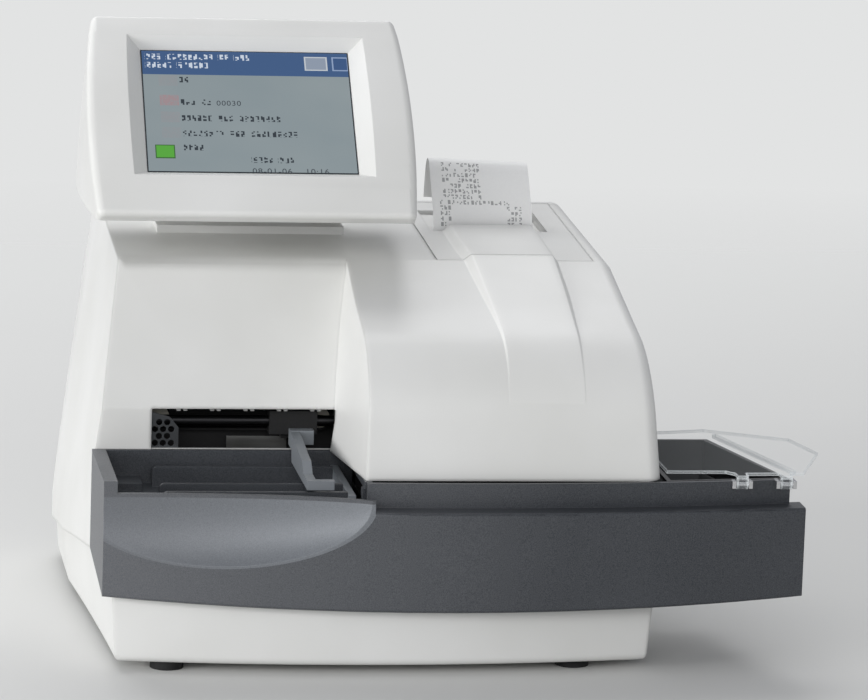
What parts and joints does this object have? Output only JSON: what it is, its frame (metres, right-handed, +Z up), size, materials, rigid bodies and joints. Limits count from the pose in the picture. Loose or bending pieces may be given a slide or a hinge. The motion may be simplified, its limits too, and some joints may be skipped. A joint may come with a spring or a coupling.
{
  "type": "urine strip analyzer",
  "caption": "Bench-top urine strip analyzer: strip tray with push bar, reading arch, tilting touch display, slip printer and waste well with clear lid.",
  "frame": {"origin": "middle of the footprint, on the bench", "axes": "+X to the operator's right along the fascia, +Y to the back, +Z up"},
  "size_m": [0.4024, 0.332, 0.3291],
  "materials": {
    "white_housing": "fine-textured moulded plastic",
    "grey_fascia": "fine-grained dark grey moulded plastic",
    "pale_grey": "smooth mid grey moulded plastic",
    "black_plastic": "black moulded plastic",
    "liner": "thin vacuum-formed plastic",
    "clear_cover": "clear moulded plastic",
    "steel_sheet": "bright zinc-plated sheet",
    "ground_steel": "ground and polished",
    "motor_can": "black motor can",
    "rubber": "matt rubber",
    "nylon": "natural nylon",
    "lens_glass": "clear optical window",
    "screen": "touch panel over a lit screen",
    "circuit": "solder-masked board",
    "paper": "uncoated thermal paper"
  },
  "bodies": {
    "root": {"lower_housing": "white_housing", "upper_housing": "white_housing", "display_neck": "white_housing", "front_fascia": "grey_fascia", "loading_tray": "grey_fascia", "strip_platform": "grey_fascia", "tray_guide_rail": "pale_grey", "waste_well": "black_plastic", "power_inlet": "black_plastic", "port_connectors": "black_plastic", "fan_frame": "black_plastic", "print_head": "black_plastic", "chassis_plate": "steel_sheet", "rail_brackets": "steel_sheet", "motor_plate": "steel_sheet", "gantry_frame": "steel_sheet", "printer_frame": "steel_sheet", "rear_panel": "steel_sheet", "power_supply": "steel_sheet", "tear_bar": "steel_sheet", "perforated_bracket": "steel_sheet", "guide_rods": "ground_steel", "case_screws": "ground_steel", "display_hinge_pin": "ground_steel", "waste_hinge_pins": "ground_steel", "printer_cover_pins": "ground_steel", "push_motor": "motor_can", "head_motor": "motor_can", "table_motor": "motor_can", "printer_motor": "motor_can", "rubber_feet": "rubber", "drive_belts": "rubber", "main_board": "circuit", "paper_strip": "paper"},
    "push_carriage": {"push_carriage": "black_plastic", "push_bar": "pale_grey"},
    "push_drive_pulley": {"push_drive_pulley": "nylon"},
    "push_idler_pulley": {"push_idler_pulley": "nylon"},
    "read_head": {"read_head": "black_plastic", "read_head_window": "lens_glass"},
    "head_drive_pulley": {"head_drive_pulley": "nylon"},
    "head_idler_pulley": {"head_idler_pulley": "nylon"},
    "table_lift": {"table_lift_frame": "black_plastic"},
    "moving_table": {"moving_table": "grey_fascia"},
    "waste_cover": {"waste_cover": "clear_cover"},
    "display": {"display_bezel": "white_housing", "display_rear_shell": "white_housing", "touch_panel": "screen", "lcd_module": "circuit"},
    "paper_roll": {"paper_roll": "paper", "paper_spindle": "nylon"},
    "platen": {"platen_roller": "rubber", "platen_shaft": "ground_steel", "platen_gear": "nylon"},
    "printer_drive": {"printer_drive_gear": "nylon"},
    "printer_cover": {"printer_cover": "white_housing"},
    "power_switch": {"power_switch": "black_plastic"},
    "fan_rotor": {"fan_rotor": "black_plastic"},
    "waste_liner": {"waste_liner": "liner"}
  },
  "joints": [
    {"name": "display_tilt", "type": "hinge", "parent": "root", "child": "display", "pos_m": [-0.1062, 0.065, 0.221], "axis": [1, 0, 0], "range_deg": [-12, 12]},
    {"name": "push_slide", "type": "slide", "parent": "root", "child": "push_carriage", "axis": [-1, 0, 0], "range_m": [0, 0.058]},
    {"name": "push_drive_spin", "type": "hinge", "parent": "root", "child": "push_drive_pulley", "pos_m": [-0.0677, -0.0385, 0.117], "axis": [0, 1, 0], "range_deg": [0, 554]},
    {"name": "push_idler_spin", "type": "hinge", "parent": "root", "child": "push_idler_pulley", "pos_m": [-0.1557, -0.0385, 0.117], "axis": [0, 1, 0], "range_deg": [0, 554]},
    {"name": "head_slide", "type": "slide", "parent": "root", "child": "read_head", "axis": [0, 1, 0], "range_m": [0, 0.048]},
    {"name": "head_drive_spin", "type": "hinge", "parent": "root", "child": "head_drive_pulley", "pos_m": [0.0338, -0.0565, 0.127], "axis": [0, 0, 1], "range_deg": [-459, 0]},
    {"name": "head_idler_spin", "type": "hinge", "parent": "root", "child": "head_idler_pulley", "pos_m": [0.0338, -0.124, 0.127], "axis": [0, 0, 1], "range_deg": [-459, 0]},
    {"name": "table_raise", "type": "slide", "parent": "root", "child": "table_lift", "axis": [0, 0, 1], "range_m": [0, 0.004]},
    {"name": "table_step", "type": "slide", "parent": "table_lift", "child": "moving_table", "axis": [1, 0, 0], "range_m": [0, 0.012]},
    {"name": "waste_cover_hinge", "type": "hinge", "parent": "root", "child": "waste_cover", "pos_m": [0.1588, -0.14663, 0.103], "axis": [1, 0, 0], "range_deg": [0, 100]},
    {"name": "printer_cover_hinge", "type": "hinge", "parent": "root", "child": "printer_cover", "pos_m": [0.0418, 0.134, 0.20777], "axis": [-1, 0, 0], "range_deg": [0, 75]},
    {"name": "platen_spin", "type": "hinge", "parent": "root", "child": "platen", "pos_m": [0.0358, 0.07, 0.184], "axis": [1, 0, 0], "continuous": true},
    {"name": "printer_drive_spin", "type": "hinge", "parent": "root", "child": "printer_drive", "pos_m": [0.0738, 0.07, 0.16585], "axis": [1, 0, 0], "continuous": true},
    {"name": "paper_roll_spin", "type": "hinge", "parent": "root", "child": "paper_roll", "pos_m": [0.0358, 0.11, 0.16], "axis": [1, 0, 0], "continuous": true},
    {"name": "liner_lift", "type": "slide", "parent": "root", "child": "waste_liner", "axis": [0, 0, 1], "range_m": [0, 0.015]},
    {"name": "power_switch_tip", "type": "hinge", "parent": "root", "child": "power_switch", "pos_m": [0.0048, 0.159, 0.062], "axis": [1, 0, 0], "range_deg": [-8, 8]},
    {"name": "fan_spin", "type": "hinge", "parent": "root", "child": "fan_rotor", "pos_m": [-0.0952, 0.154, 0.0655], "axis": [0, 1, 0], "continuous": true}
  ],
  "couplings": [
    {"joint": "push_drive_spin", "follows": "push_slide", "rad_per_m": 166.67},
    {"joint": "push_idler_spin", "follows": "push_slide", "rad_per_m": 166.67},
    {"joint": "head_drive_spin", "follows": "head_slide", "rad_per_m": -166.67},
    {"joint": "head_idler_spin", "follows": "head_slide", "rad_per_m": -166.67},
    {"joint": "printer_drive_spin", "follows": "platen_spin", "ratio": -2},
    {"joint": "paper_roll_spin", "follows": "platen_spin", "ratio": 0.2917}
  ]
}
